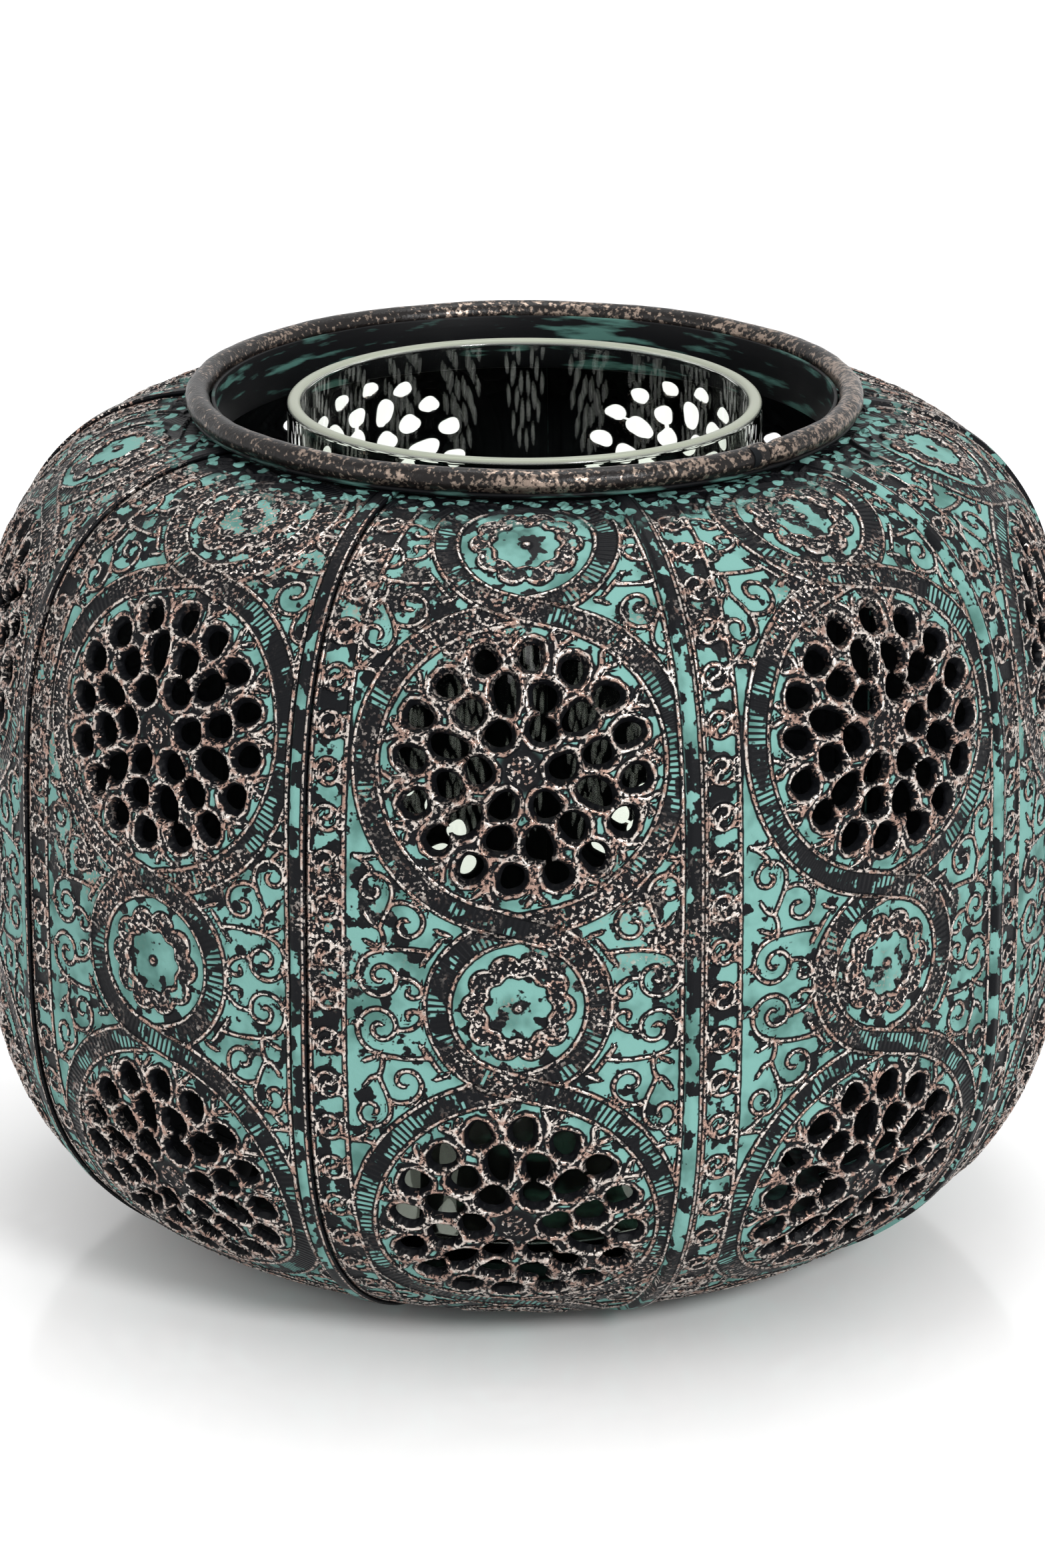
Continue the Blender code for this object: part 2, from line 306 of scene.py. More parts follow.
def from_holes(across, along, centres, holes):
    """Distances to the nearest hole's edge, negative inside it, and to the second, and the first's place."""
    power = HOLE_SQUARENESS
    nearest, second = np.full(len(across), 99.0), np.full(len(across), 99.0)
    edge_across, edge_along = across.copy(), along.copy()
    for middle_across, middle_along in centres:
        for (hole_across, hole_along), turn, deep, wide in holes:
            dx, dy = across - middle_across - hole_across, along - middle_along - hole_along
            out = (dx * math.cos(turn) + dy * math.sin(turn)) / deep
            beside = (dy * math.cos(turn) - dx * math.sin(turn)) / wide
            share = np.maximum((np.abs(out) ** power + np.abs(beside) ** power) ** (1 / power), 1e-6)
            round_it = np.arctan2(beside, out)
            share /= 1 + 0.07 * np.sin(2 * round_it + 5 * turn) + 0.06 * np.sin(3 * round_it + 9 * wide)
            far = np.hypot(dx, dy) * (1 - 1 / share)
            closer = far < nearest
            second = np.where(closer, nearest, np.minimum(second, far))
            nearest = np.where(closer, far, nearest)
            edge_across[closer] = (across - dx + dx / share)[closer]
            edge_along[closer] = (along - dy + dy / share)[closer]
    return nearest, second, edge_across, edge_along


# ---------------------------------------------------------------- the stamped panel


def ease(low, high, value):
    """0 below low, 1 above high, and a smooth rise between."""
    part = np.clip((value - low) / (high - low), 0, 1)
    return part * part * (3 - 2 * part)


# What the patina reads from the mesh. Stamp.fields makes them.
FIELDS = ("crest_side", "crest_near", "ribbon", "rung", "hole", "flower", "climb", "strip", "rib")


class Stamp:
    """One panel's pattern on the flat sheet, and the fields from which its relief and its patina are made."""

    CELL = 0.485
    JOGGLE = 0.5
    TUCK = 1.15
    LINE_REACH = 9.0
    KNOT_PITCH = 7.3
    PETALS = 5
    HOLE_WALL = 1.05
    # How far each stands out of the plain field.
    BAND_RISE = 0.22
    FLOWER_RISE = 0.40
    MEDALLION_RISE = 0.35
    HOLE_DISH = 1.15

    def __init__(self, body, pattern):
        self.skin = Skin(body)
        self.seam_turn, self.turn = body.seam_turn, 2 * math.pi / len(PANELS)
        self.rib, self.rise = body.rib_width / MM, body.rib_rise / MM
        self.strip, self.band = pattern.strip / MM, pattern.band / 2 / MM
        self.line, self.relief = pattern.line / 2 / MM, pattern.relief / MM
        self.pitch, self.lean = pattern.pitch / MM, pattern.lean
        self.rings = (pattern.small_ring / MM, pattern.big_ring / MM)
        self.rosette = self.skin.along_at(pattern.rosette_height / MM)
        self.holes = medallion_holes()

    def edges(self, along):
        """The sheet's left and right edges, across."""
        radius = self.skin.radius(along)
        right = self.seam_turn * radius
        return right - self.turn * radius - self.TUCK, right

    def columns(self, along, column, count):
        """Across, for each grid column: even over the field, in fixed steps over the strip and the rib."""
        left, right = self.edges(along)
        strip = np.arange(0, self.strip + self.TUCK + 1.0, self.CELL)
        joggle = [self.rib + 2 * self.JOGGLE, self.rib + self.JOGGLE]
        rib = np.array([*joggle, self.rib, 0.66 * self.rib, 0.33 * self.rib, 0.0])
        last = count - len(rib) + 1
        inner, outer = left + strip[-1], right - rib[0]
        share = (column - len(strip) + 1) / (last - len(strip) + 1)
        across = inner + (outer - inner) * share
        in_strip, in_rib = column < len(strip), column >= last
        across = np.where(in_strip, left + strip[np.minimum(column, len(strip) - 1)], across)
        return np.where(in_rib, right - rib[np.clip(column - last, 0, len(rib) - 1)], across)

    def strands(self):
        """The two strands of the braid, each weaving from side to side of the circles up the panel."""
        tilt = math.acos(sum(self.rings) / self.pitch)
        strands = ([], [])
        for i in range(-3, 4):
            ring = self.rings[i % 2]
            side = 1 if i % 2 else -1
            swing = np.linspace(tilt, math.pi - tilt, int(ring * 2.2))
            for strand, way in zip(strands, (side, -side)):
                line = [way * ring * np.sin(swing), self.rosette + i * self.pitch - ring * np.cos(swing)]
                strand.append(np.stack(line, 1))
        return [np.concatenate(strand) for strand in strands]

    def fields(self, across, along):
        """Fields over the sheet, in millimetres.

        crest_side and crest_near are distances from the nearest raised line. ribbon is how deep inside
        the braid a place is, and rung how far along it. hole is the distance from the nearest hole's
        edge. pierced and flower are how deep inside a medallion or a flower it is, climb is how far up
        the sheet, and strip and rib how far inside the knot strip's and the sheet's right edges.
        """
        left, right = self.edges(along)
        middle = across - self.lean * (along - self.rosette)
        inside = (across > left + self.TUCK + self.strip) & (across < right - self.rib - self.JOGGLE)

        # The braid: the strand that climbs to the left passes over the other.
        (a, a_run, a_way), (b, b_run, b_way) = (from_lines(middle, along, [s]) for s in self.strands())
        a_over = np.where((a_way < 0) != (b_way < 0), a_way < 0, np.abs(a) < np.abs(b))
        over, under = np.where(a_over, a, b), np.where(a_over, b, a)
        over_run, under_run = np.where(a_over, a_run, b_run), np.where(a_over, b_run, a_run)
        on_top = np.abs(over) < self.band
        ribbon = self.band - np.where(on_top, np.abs(over), np.abs(under))
        rung = np.where(on_top, over_run, under_run)

        # Raised lines, as pairs: a side that changes sign across the line, and the plain distance.
        lines = []

        def add(side, near=None, where=None, width=1.0):
            near = np.abs(side) if near is None else near
            if where is not None:
                near = np.where(where, near, self.LINE_REACH)
            lines.append((side / width, near / width))

        add(np.abs(over) - self.band, where=inside)
        buried = self.band - np.abs(over)
        add(np.abs(under) - self.band, np.maximum(np.abs(np.abs(under) - self.band), buried), inside)

        # Scrolls fill the corners, mirrored about each rosette.
        up = along - self.rosette
        from_rosette = np.abs(up - 2 * self.pitch * np.round(up / (2 * self.pitch)))
        beyond = (ribbon < -0.2) & (np.hypot(middle, from_rosette) > self.rings[0])
        beyond &= np.hypot(middle, self.pitch - from_rosette) > self.rings[1]
        corner = inside & beyond
        side, _, _ = from_lines(np.abs(middle), from_rosette, scroll_lines())
        add(side, where=corner)

        # The strip's borders and its knots, the field's right border and the rib's.
        strip_left = left + self.TUCK + 0.5
        strip_right = left + self.TUCK + self.strip
        for border in (strip_left, strip_right, right - self.rib - self.JOGGLE - 0.5):
            add(across - border)
        add(across - right + 0.35, width=0.8)
        knot = (along - self.rosette) / self.KNOT_PITCH
        side, _, _ = from_lines(
            across - (strip_left + strip_right) / 2, (knot - np.round(knot)) * self.KNOT_PITCH, knot_lines()
        )
        in_strip = (across > strip_left) & (across < strip_right)
        add(side, where=in_strip)

        # Medallions: a crest midway between holes and round the outer ones, forked tongues, and a boss.
        centres = [(self.lean * d, self.rosette + d) for d in (-self.pitch, self.pitch)]
        hole, second, _, _ = from_holes(across, along, centres, self.holes)
        from_medallion = np.minimum(*(np.hypot(across - x, along - y) for x, y in centres))
        pierced = from_medallion < self.rings[1] - self.band - 0.4
        wall = self.HOLE_WALL + 0.14 * np.sin(2.1 * across + 1.1 * along) * np.sin(1.3 * across - 1.9 * along)
        add((second - hole) / 2, where=pierced & (hole < wall), width=1.3)
        add(hole - wall, where=pierced, width=1.15)
        nearest_up = np.where(along > self.rosette, centres[1][1], centres[0][1])
        side, _, _ = from_lines(middle, along - nearest_up, flame_lines(FLAME_RADII))
        add(side, where=pierced, width=1.2)

        # Rosettes: a scalloped flower, a ring inside it and a boss.
        reach = np.hypot(middle, from_rosette)
        turn = np.arctan2(from_rosette, middle)
        scallop = 7.0 + 1.7 * np.sqrt(np.abs(np.cos(self.PETALS * turn)))
        flower = np.maximum(reach - scallop, 5.3 + 0.3 * np.cos(2 * self.PETALS * turn) - reach)
        in_rosette = reach < self.rings[0] - self.band
        add(flower + 0.15, where=in_rosette, width=1.1)
        add(reach - 0.2, np.maximum(reach - 0.3, 0), in_rosette, width=1.6)

        side = np.stack([s for s, _ in lines])
        near = np.stack([n for _, n in lines])
        nearest = near.argmin(0)
        row = np.arange(len(across))
        return {
            "crest_side": side[nearest, row],
            "crest_near": np.minimum(near[nearest, row], self.LINE_REACH),
            "ribbon": np.where(inside, np.clip(ribbon, -2, 2), -2),
            "rung": rung,
            "hole": np.clip(np.where(pierced, np.minimum(hole, 0.4 + 0.15 * from_medallion), 6.0), -1, 6),
            "pierced": np.clip(self.rings[1] - self.band - from_medallion, -3, 9),
            "flower": np.where(in_rosette, np.clip(-flower, -3, 2), np.clip(2.5 - from_medallion, -3, 2)),
            "climb": along,
            "strip": np.clip(strip_right - across, -3, 8),
            "rib": np.clip(right - across, -1, 8),
        }

    def relief_of(self, field, across, along):
        """How far the sheet stands out of the body's skin."""
        _, right = self.edges(along)
        raised = self.relief * (1 - ease(0.05, 2.2 * self.line, field["crest_near"]))
        raised += self.BAND_RISE * ease(-0.1, 0.5, field["ribbon"])
        raised += self.FLOWER_RISE * ease(-0.1, 0.7, field["flower"])
        raised += self.MEDALLION_RISE * ease(0.3, 2.0, field["pierced"])
        raised -= self.HOLE_DISH * (1 - ease(-0.1, 1.0, field["hole"]))
        waver = 0.12 * np.sin(along / 9.0 + 1.3) * np.sin(across / 11.0)
        fade = ease(0, 7, along) * ease(0, 2.5, self.skin.length - along)
        ribbed = np.interp(right - across, [self.rib, self.rib + self.JOGGLE], [1, 0])
        return (raised + waver) * fade * (1 - ribbed) + self.rise * ribbed


def select_none():
    for obj in bpy.context.selected_objects:
        obj.select_set(False)


def select_only(obj):
    select_none()
    obj.select_set(True)
    bpy.context.view_layer.objects.active = obj


def edit_mode():
    bpy.ops.object.mode_set(mode="EDIT")


def object_mode():
    bpy.ops.object.mode_set(mode="OBJECT")


def edit_faces(obj, wanted):
    """Into edit mode, with only the faces that are wanted selected."""
    select_only(obj)
    edit_mode()
    bpy.ops.mesh.select_all(action="DESELECT")
    object_mode()
    for face in obj.data.polygons:
        face.select = bool(wanted(face))
    edit_mode()


def named(name):
    """The primitive that was just added, given its piece's name."""
    obj = bpy.context.object
    obj.name = obj.data.name = name
    return obj


def apply_place(obj):
    select_only(obj)
    bpy.ops.object.transform_apply(location=True, rotation=True, scale=True)


def apply_modifier(obj, kind, **settings):
    modifier = obj.modifiers.new(kind.title(), kind)
    for key, value in settings.items():
        setattr(modifier, key, value)
    bpy.context.view_layer.objects.active = obj
    bpy.ops.object.modifier_apply(modifier=modifier.name)


def smooth(obj, angle=180):
    select_only(obj)
    bpy.ops.object.shade_smooth_by_angle(angle=math.radians(angle))


def get_points(mesh):
    co = np.empty(len(mesh.vertices) * 3)
    mesh.vertices.foreach_get("co", co)
    return co.reshape(-1, 3)


def set_points(mesh, points):
    mesh.vertices.foreach_set("co", points.astype(np.float32).ravel())
    mesh.update()


def stamped_panel(stamp, columns=132, rows=376):
    """The front panel: a grid that is bent, pierced, stamped and given its thickness."""
    bpy.ops.mesh.primitive_grid_add(size=2, x_subdivisions=columns, y_subdivisions=rows)
    obj = named(PANELS[0] + "_stamped")
    flat = get_points(obj.data)
    column = np.round((flat[:, 0] + 1) / 2 * columns).astype(int)
    along = stamp.skin.length * (flat[:, 1] + 1) / 2
    across = stamp.columns(along, column, columns)

    centres = [(stamp.lean * d, stamp.rosette + d) for d in (-stamp.pitch, stamp.pitch)]
    hole, _, edge_across, edge_along = from_holes(across, along, centres, stamp.holes)
    close = 0.55 * stamp.CELL
    # A vertex inside a hole that shares a face with one outside it moves to the edge too.
    corners = np.array([list(p.vertices) for p in obj.data.polygons])
    mixed = (hole[corners] > close).any(1)
    shared = np.zeros(len(across), bool)
    shared[corners[mixed].ravel()] = True
    to_edge = (np.abs(hole) < close) | (shared & (hole < 0))
    across[to_edge], along[to_edge] = edge_across[to_edge], edge_along[to_edge]
    hole[to_edge] = 0
    gone = (hole[corners] <= 0).all(1)

    field = stamp.fields(across, along)
    out = stamp.relief_of(field, across, along)
    set_points(obj.data, stamp.skin.points(across, along, out))
    for name in FIELDS:
        attribute = obj.data.attributes.new(name, "FLOAT", "POINT")
        attribute.data.foreach_set("value", field[name].astype(np.float32))

    edit_faces(obj, lambda face: gone[face.index])
    bpy.ops.mesh.delete(type="FACE")
    object_mode()
    return obj


class LANTERN_OT_panels(bpy.types.Operator):
    """Build the nine stamped and pierced panels"""

    bl_idname = "lantern.panels"
    bl_label = "Stamped panels"

    def execute(self, context):
        body, pattern = context.scene.lantern_body, context.scene.lantern_pattern
        first = stamped_panel(Stamp(body, pattern))
        first.data.materials.append(patinated_metal(context.scene.lantern_finish))
        first.data.materials.append(sooty_metal(context.scene.lantern_finish))
        apply_modifier(
            first, "SOLIDIFY", thickness=body.sheet, offset=-1, material_offset=1, material_offset_rim=0
        )
        first.data.shade_smooth()
        panels = [first]
        for i, node in enumerate(PANELS[1:], 1):
            panel = first.copy()
            panel.data = first.data.copy()
            panel.name = panel.data.name = node + "_stamped"
            panel.data.transform(Matrix.Rotation(2 * math.pi * i / len(PANELS), 4, "Z"))
            context.scene.collection.objects.link(panel)
            panels.append(panel)
        for panel, node in zip(panels, PANELS):
            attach(panel, "shell")
            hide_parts(node)
        return {"FINISHED"}


# ---------------------------------------------------------------- neck


class LANTERN_OT_neck(bpy.types.Operator):
    """Build the rolled bead, the lip under it and the collar inside"""

    bl_idname = "lantern.neck"
    bl_label = "Neck"

    # The bead's joint: its turn, how far round it the ends are bent, and the gap between them.
    JOINT = FRONT + math.radians(45.5)
    BENT = math.radians(4)
    GAP = 0.0017
    SEGMENTS = 256

    def execute(self, context):
        colours = context.scene.lantern_finish
        self.bead(rubbed_bead_metal(colours), sooty_metal(colours))
        self.collar(smeared_metal(colours))
        return {"FINISHED"}

    def bead(self, finish, inside):
        low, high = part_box("rim_bead")
        wire = (high.z - low.z) / 2
        ring, middle = box_radius("rim_bead") - wire, low.z + wire
        half = math.pi / self.SEGMENTS
        bpy.ops.mesh.primitive_torus_add(
            location=(0, 0, middle),
            rotation=(0, 0, self.JOINT + half),
            major_radius=ring,
            minor_radius=wire,
            major_segments=self.SEGMENTS,
            minor_segments=28,
        )
        bead = named("rim_bead_rolled")
        apply_place(bead)
        # One segment is cut out at the joint, and its two ends are closed.
        edit_faces(bead, lambda face: abs(math.atan2(face.center.y, face.center.x) - self.JOINT) < half)
        bpy.ops.mesh.delete(type="FACE")
        bpy.ops.mesh.select_all(action="SELECT")
        bpy.ops.mesh.fill_holes(sides=0)
        bpy.ops.mesh.normals_make_consistent(inside=False)
        object_mode()
        set_points(bead.data, self.bent_ends(get_points(bead.data), ring, middle))
        bead.data.materials.append(finish)
        bead.data.materials.append(inside)
        # The bead is rolled sheet, so its ends are open: each shows the sheet's edge and a dark hollow.
        edit_faces(bead, lambda face: len(face.vertices) > 4)
        bpy.ops.mesh.inset(thickness=0.0003)
        bead.active_material_index = 1
        bpy.ops.object.material_slot_assign()
        bpy.ops.mesh.inset(thickness=0.0001, depth=-0.003)
        object_mode()
        smooth(bead, 40)
        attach(bead, "shell")
        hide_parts("rim_bead")

    def bent_ends(self, points, ring, middle):
        """The bead's points, wavering a little: its left end swollen and proud, its right end pinched in."""
        turn = np.arctan2(points[:, 1], points[:, 0]) - self.JOINT
        turn = (turn + np.pi) % (2 * np.pi) - np.pi
        left = turn < 0
        apart = self.GAP / 2 / ring - math.pi / self.SEGMENTS
        apart = np.sign(turn) * apart * np.clip(1 - np.abs(turn) / self.BENT, 0, 1)
        near_end = 1 - ease(0.3 * self.BENT, self.BENT, np.abs(turn))
        swell = 1 + np.where(left, 0.10, -0.18) * near_end
        step = np.where(left, 0.00035, -0.00060) * near_end
        waver = 0.00007 * np.sin(23 * turn) + 0.00005 * np.sin(57 * turn + 1)
        reach = ring + (np.hypot(points[:, 0], points[:, 1]) - ring) * swell + step + waver
        place = turn + self.JOINT + apart
        height = middle + (points[:, 2] - middle) * swell + 0.5 * step + 0.00006 * np.sin(11 * turn)
        return np.stack([reach * np.cos(place), reach * np.sin(place), height], 1)

    def collar(self, finish):
        low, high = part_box("neck_collar")
        bpy.ops.mesh.primitive_cylinder_add(
            vertices=192,
            radius=box_radius("neck_collar"),
            depth=high.z - low.z,
            end_fill_type="NOTHING",
            location=(0, 0, (low.z + high.z) / 2),
        )
        collar = named("neck_collar_strip")
        apply_place(collar)
        apply_modifier(collar, "SOLIDIFY", thickness=0.0007, offset=-1)
        apply_modifier(collar, "BEVEL", width=0.00025, segments=2)
        collar.data.materials.append(finish)
        smooth(collar, 40)
        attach(collar, "shell")
        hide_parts("neck_collar")

        # The strip's lower edge, turned out, shows as a thin line under the bead.
        bead_low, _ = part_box("rim_bead")
        bpy.ops.mesh.primitive_torus_add(
            location=(0, 0, bead_low.z - 0.0001),
            major_radius=box_radius("rim_bead") - 0.0012,
            minor_radius=0.00042,
            major_segments=192,
            minor_segments=10,
        )
        lip = named("neck_lip")
        apply_place(lip)
        lip.data.materials.append(finish)
        smooth(lip)
        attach(lip, "shell")


# ---------------------------------------------------------------- foot


class LANTERN_OT_foot(bpy.types.Operator):
    """Build the base plate and the ring that joins it to the panels"""

    bl_idname = "lantern.foot"
    bl_label = "Foot"

    def execute(self, context):
        finish = smeared_metal(context.scene.lantern_finish)
        low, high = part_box("base_plate")
        bpy.ops.mesh.primitive_cylinder_add(
            vertices=160,
            radius=box_radius("base_plate"),
            depth=high.z - low.z,
            location=(0, 0, (low.z + high.z) / 2),
        )
        plate = named("base_plate_pressed")
        apply_place(plate)
        edit_faces(plate, lambda face: face.normal.z < -0.9)
        # A shallow pressed panel under the plate leaves a rim to stand on.
        bpy.ops.mesh.inset(thickness=0.006)
        bpy.ops.mesh.inset(thickness=0.0008)
        bpy.ops.transform.translate(value=(0, 0, 0.00035))
        object_mode()
        apply_modifier(plate, "BEVEL", width=0.0002, segments=2, limit_method="ANGLE")
        plate.data.materials.append(finish)
        smooth(plate, 35)
        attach(plate, "shell")
        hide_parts("base_plate")

        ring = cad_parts["foot_ring"].copy()
        ring.data = ring.data.copy()
        ring.name = ring.data.name = "foot_ring_angle"
        for key in [k for k in ring.keys() if k.startswith("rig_")]:
            del ring[key]
        ring.parent = None
        context.scene.collection.objects.link(ring)
        edit_faces(ring, lambda face: True)
        bpy.ops.mesh.remove_doubles(threshold=0.00001)
        object_mode()
        apply_modifier(ring, "BEVEL", width=0.00015, segments=2, limit_method="ANGLE")
        ring.data.materials.clear()
        ring.data.materials.append(finish)
        smooth(ring, 35)
        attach(ring, "shell")
        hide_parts("foot_ring")
        return {"FINISHED"}


# ---------------------------------------------------------------- glass


class LANTERN_OT_glass(bpy.types.Operator):
    """Build the loose glass cylinder"""

    bl_idname = "lantern.glass"
    bl_label = "Glass"

    ROUNDING = 0.0010

    def execute(self, context):
        body = context.scene.lantern_body
        low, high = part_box("glass_insert")
        floor = low.z + body.glass_floor
        bpy.ops.mesh.primitive_cylinder_add(
            vertices=192,
            radius=box_radius("glass_insert"),
            depth=high.z - low.z,
            location=(0, 0, (low.z + high.z) / 2),
        )
        glass = named("glass_cylinder")
        apply_place(glass)
        edit_faces(glass, lambda face: face.normal.z > 0.9)
        bpy.ops.mesh.inset(thickness=body.glass_wall)
        bpy.ops.mesh.extrude_region_move(TRANSFORM_OT_translate={"value": (0, 0, floor - high.z)})
        # Loops close to the rounded edges, so that smooth shading leaves the long walls true.
        clear = 1.3 * self.ROUNDING
        for height in (low.z + clear, floor + clear, high.z - clear):
            bpy.ops.mesh.select_all(action="SELECT")
            bpy.ops.mesh.bisect(plane_co=(0, 0, height), plane_no=(0, 0, 1))
        object_mode()
        apply_modifier(glass, "BEVEL", width=self.ROUNDING, segments=5, limit_method="ANGLE")
        glass.data.materials.append(pressed_glass())
        smooth(glass, 60)
        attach(glass, "glass")
        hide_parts("glass_insert")
        return {"FINISHED"}


# ---------------------------------------------------------------- materials


class Finish:
    """A material under construction."""

    def __init__(self, name):
        self.material = bpy.data.materials.new(name)
        self.material.use_nodes = True
        self.tree = self.material.node_tree
        self.shader = self.tree.nodes["Principled BSDF"]

    def add(self, kind, feeds=(), out=0, **settings):
        """Adds a node, feeds its inputs in order or by name or number, and gives one of its outputs."""
        made = self.tree.nodes.new("ShaderNode" + kind)
        for key, value in settings.items():
            setattr(made, key, value)
        self.feed(made, feeds)
        return made.outputs[out]

    def feed(self, node, feeds):
        for key, value in feeds.items() if isinstance(feeds, dict) else enumerate(feeds):
            if isinstance(value, bpy.types.NodeSocket):
                self.tree.links.new(value, node.inputs[key])
            elif node.inputs[key].type == "RGBA":
                node.inputs[key].default_value = (*value, 1)
            else:
                node.inputs[key].default_value = value


SMOOTH = {"interpolation_type": "SMOOTHSTEP"}
COLOURS = {"out": 2, "data_type": "RGBA"}


def patinated_metal(colours):
    """Stamped sheet under brushed-on verdigris, rubbed back: matt teal hollows, black beside each raised
    line, and speckled bright metal on the crests."""
    finish = Finish("rubbed_verdigris_on_stamped_sheet")
    add = finish.add
    place = add("TexCoord", out="Object")
    # Sizes of the mottling, in millimetres. The rubbing's own scratches are finer than the speck, which
    # is drawn this coarse so that it shows.
    sizes = {"cloud": 26.0, "blotch": 7.0, "patch": 3.2, "grit": 1.6, "speck": 0.6}
    grain = {
        key: add("TexNoise", {"Vector": place, "Scale": 1 / (size * MM), "Detail": 3.0})
        for key, size in sizes.items()
    }
    field = {key: add("Attribute", out="Fac", attribute_name=key) for key in FIELDS}

    # Distance from a raised line's crest: sharp where the line has two sides, and a little uneven.
    across = add("Math", (field["crest_side"],), operation="ABSOLUTE")
    beyond = add("Math", (field["crest_near"], 0.30), operation="SUBTRACT")
    crest = add("Math", (across, beyond), operation="MAXIMUM")
    uneven = add("MapRange", (grain["grit"], 0.3, 0.7, -0.07, 0.07))
    uneven = add("Math", (crest, uneven), operation="ADD")

    # How worn each place is: more on the shoulder, less below. Painted shade is added in too: the value rises
    # towards the body's left side, which gets more charcoal and so comes out darker.
    blotchy = add("MapRange", (grain["blotch"], 0.0, 1.0, -0.19, 0.19))
    wear_and_shade = add("Math", (blotchy, grain["cloud"]), operation="ADD")
    shoulder = add("MapRange", (field["climb"], 95.0, 175.0, 0.0, 0.11), **SMOOTH)
    wear_and_shade = add("Math", (wear_and_shade, shoulder), operation="ADD")
    # Painted shade: a steady rise from the body's right side to its left, so the left comes out darker.
    side = add("SeparateXYZ", (place,))
    wear_and_shade = add("Math", (wear_and_shade, add("MapRange", (side, -0.09, 0.09, 0.08, -0.03))), operation="ADD")

    # Verdigris, darker where it is thin.
    thin = add("MapRange", (grain["blotch"], 0.42, 0.70), **SMOOTH)
    base = add("Mix", {0: thin, 6: colours.patina[:], 7: colours.patina_deep[:]}, **COLOURS)

    # Charcoal: beside lines, in the dished holes, in ragged patches, which come more often towards the left
    # as painted shade, and on the band and the strip.
    ragged = add("MapRange", (wear_and_shade, 0.3, 0.7, -0.11, 0.11))
    ragged = add("Math", (ragged, grain["patch"]), operation="ADD")
    ragged = add("Math", (ragged, add("MapRange", (crest, 0.3, 2.0, 0.035, -0.02))), operation="ADD")
    in_band = add("MapRange", (field["ribbon"], 0.0, 0.25), **SMOOTH)
    in_strip = add("MapRange", (field["strip"], 0.0, 0.3), **SMOOTH)
    on_rib = add("MapRange", (field["rib"], 2.6, 3.0, 1.0, 0.0), **SMOOTH)
    in_flower = add("MapRange", (field["flower"], 0.0, 0.3), **SMOOTH)
    # The braid's cross threads lie 0.95 mm apart.
    stripe = add("Math", (field["rung"], 2 * math.pi / 0.95), operation="MULTIPLY")
    stripe = add("Math", (stripe,), operation="SINE")
    black = add("MapRange", (uneven, 0.46, 0.62, 1.0, 0.0), **SMOOTH)
    # Where charcoal lies, and how low the mottling may fall before it does.
    for where, low, high in (
        (1.0, 0.585, 0.615),
        (in_band, 0.44, 0.48),
        (in_strip, 0.47, 0.50),
        (on_rib, 0.49, 0.52),
        (in_flower, 0.40, 0.44),
    ):
        share = add("Math", (where, add("MapRange", (ragged, low, high), **SMOOTH)), operation="MULTIPLY")
        black = add("Math", (black, share), operation="MAXIMUM")
    rungs = add("Math", (in_band, add("MapRange", (stripe, -0.3, 0.5), **SMOOTH)), operation="MULTIPLY")
    dish = add("MapRange", (field["hole"], 0.85, 1.25, 1.0, 0.0), **SMOOTH)
    black = add("Math", (add("Math", (black, rungs), operation="MAXIMUM"), dish), operation="MAXIMUM")
    # Under the bead the verdigris has run into drops on black.
    neck = add("Math", (grain["blotch"], 14.0, field["climb"]), operation="MULTIPLY_ADD")
    neck = add("MapRange", (neck, 175.0, 180.0))
    drops = add("TexVoronoi", {"Vector": place, "Scale": 1 / (2.4 * MM)})
    drops = add("MapRange", (drops, 0.38, 0.45), **SMOOTH)
    black = add("Math", (black, neck), operation="MAXIMUM")
    kept = add("Math", (add("Math", (1.0, drops), operation="SUBTRACT"), neck), operation="MULTIPLY")
    black = add("Math", (black, kept), operation="SUBTRACT", use_clamp=True)
    base = add("Mix", {0: black, 6: base, 7: colours.charcoal[:]}, **COLOURS)

    # Bared metal: on the crests, and scattered over worn places, more of it towards the left that the painted
    # shade darkens, and over the band, the strip and the flowers.
    bare = add(
        "Math",
        (
            add("MapRange", (uneven, 0.14, 0.30, 1.0, 0.0), **SMOOTH),
            add("MapRange", (grain["speck"], 0.42, 0.53), **SMOOTH),
        ),
        operation="MULTIPLY",
    )
    scattered = wear_and_shade
    for where, more in ((in_band, 0.09), (in_strip, 0.06), (in_flower, 0.22)):
        scattered = add("Math", (where, more, scattered), operation="MULTIPLY_ADD")
    scattered = add(
        "Math",
        (
            add("MapRange", (scattered, 0.60, 0.78), **SMOOTH),
            add("MapRange", (grain["speck"], 0.54, 0.60), **SMOOTH),
        ),
        operation="MULTIPLY",
    )
    bare = add("Math", (bare, scattered), operation="MAXIMUM")
    bare = add("Math", (bare, add("Math", (1.0, neck), operation="SUBTRACT")), operation="MULTIPLY")
    bright = add("Math", (grain["grit"], grain["patch"]), operation="ADD")
    bright = add("MapRange", (bright, 0.85, 1.15), **SMOOTH)
    metal = add("Mix", {0: bright, 6: colours.copper[:], 7: colours.silver[:]}, **COLOURS)

    # Fine relief: the lines' own profile, the band's rungs and the grit of the patina.
    profile = add("MapRange", (crest, 0.05, 0.62, 0.30, 0.0), **SMOOTH)
    ripple = add("Math", (in_band, 0.07), operation="MULTIPLY")
    ripple = add("Math", (stripe, ripple, profile), operation="MULTIPLY_ADD")
    relief = add("Math", (grain["speck"], 0.08, ripple), operation="MULTIPLY_ADD")
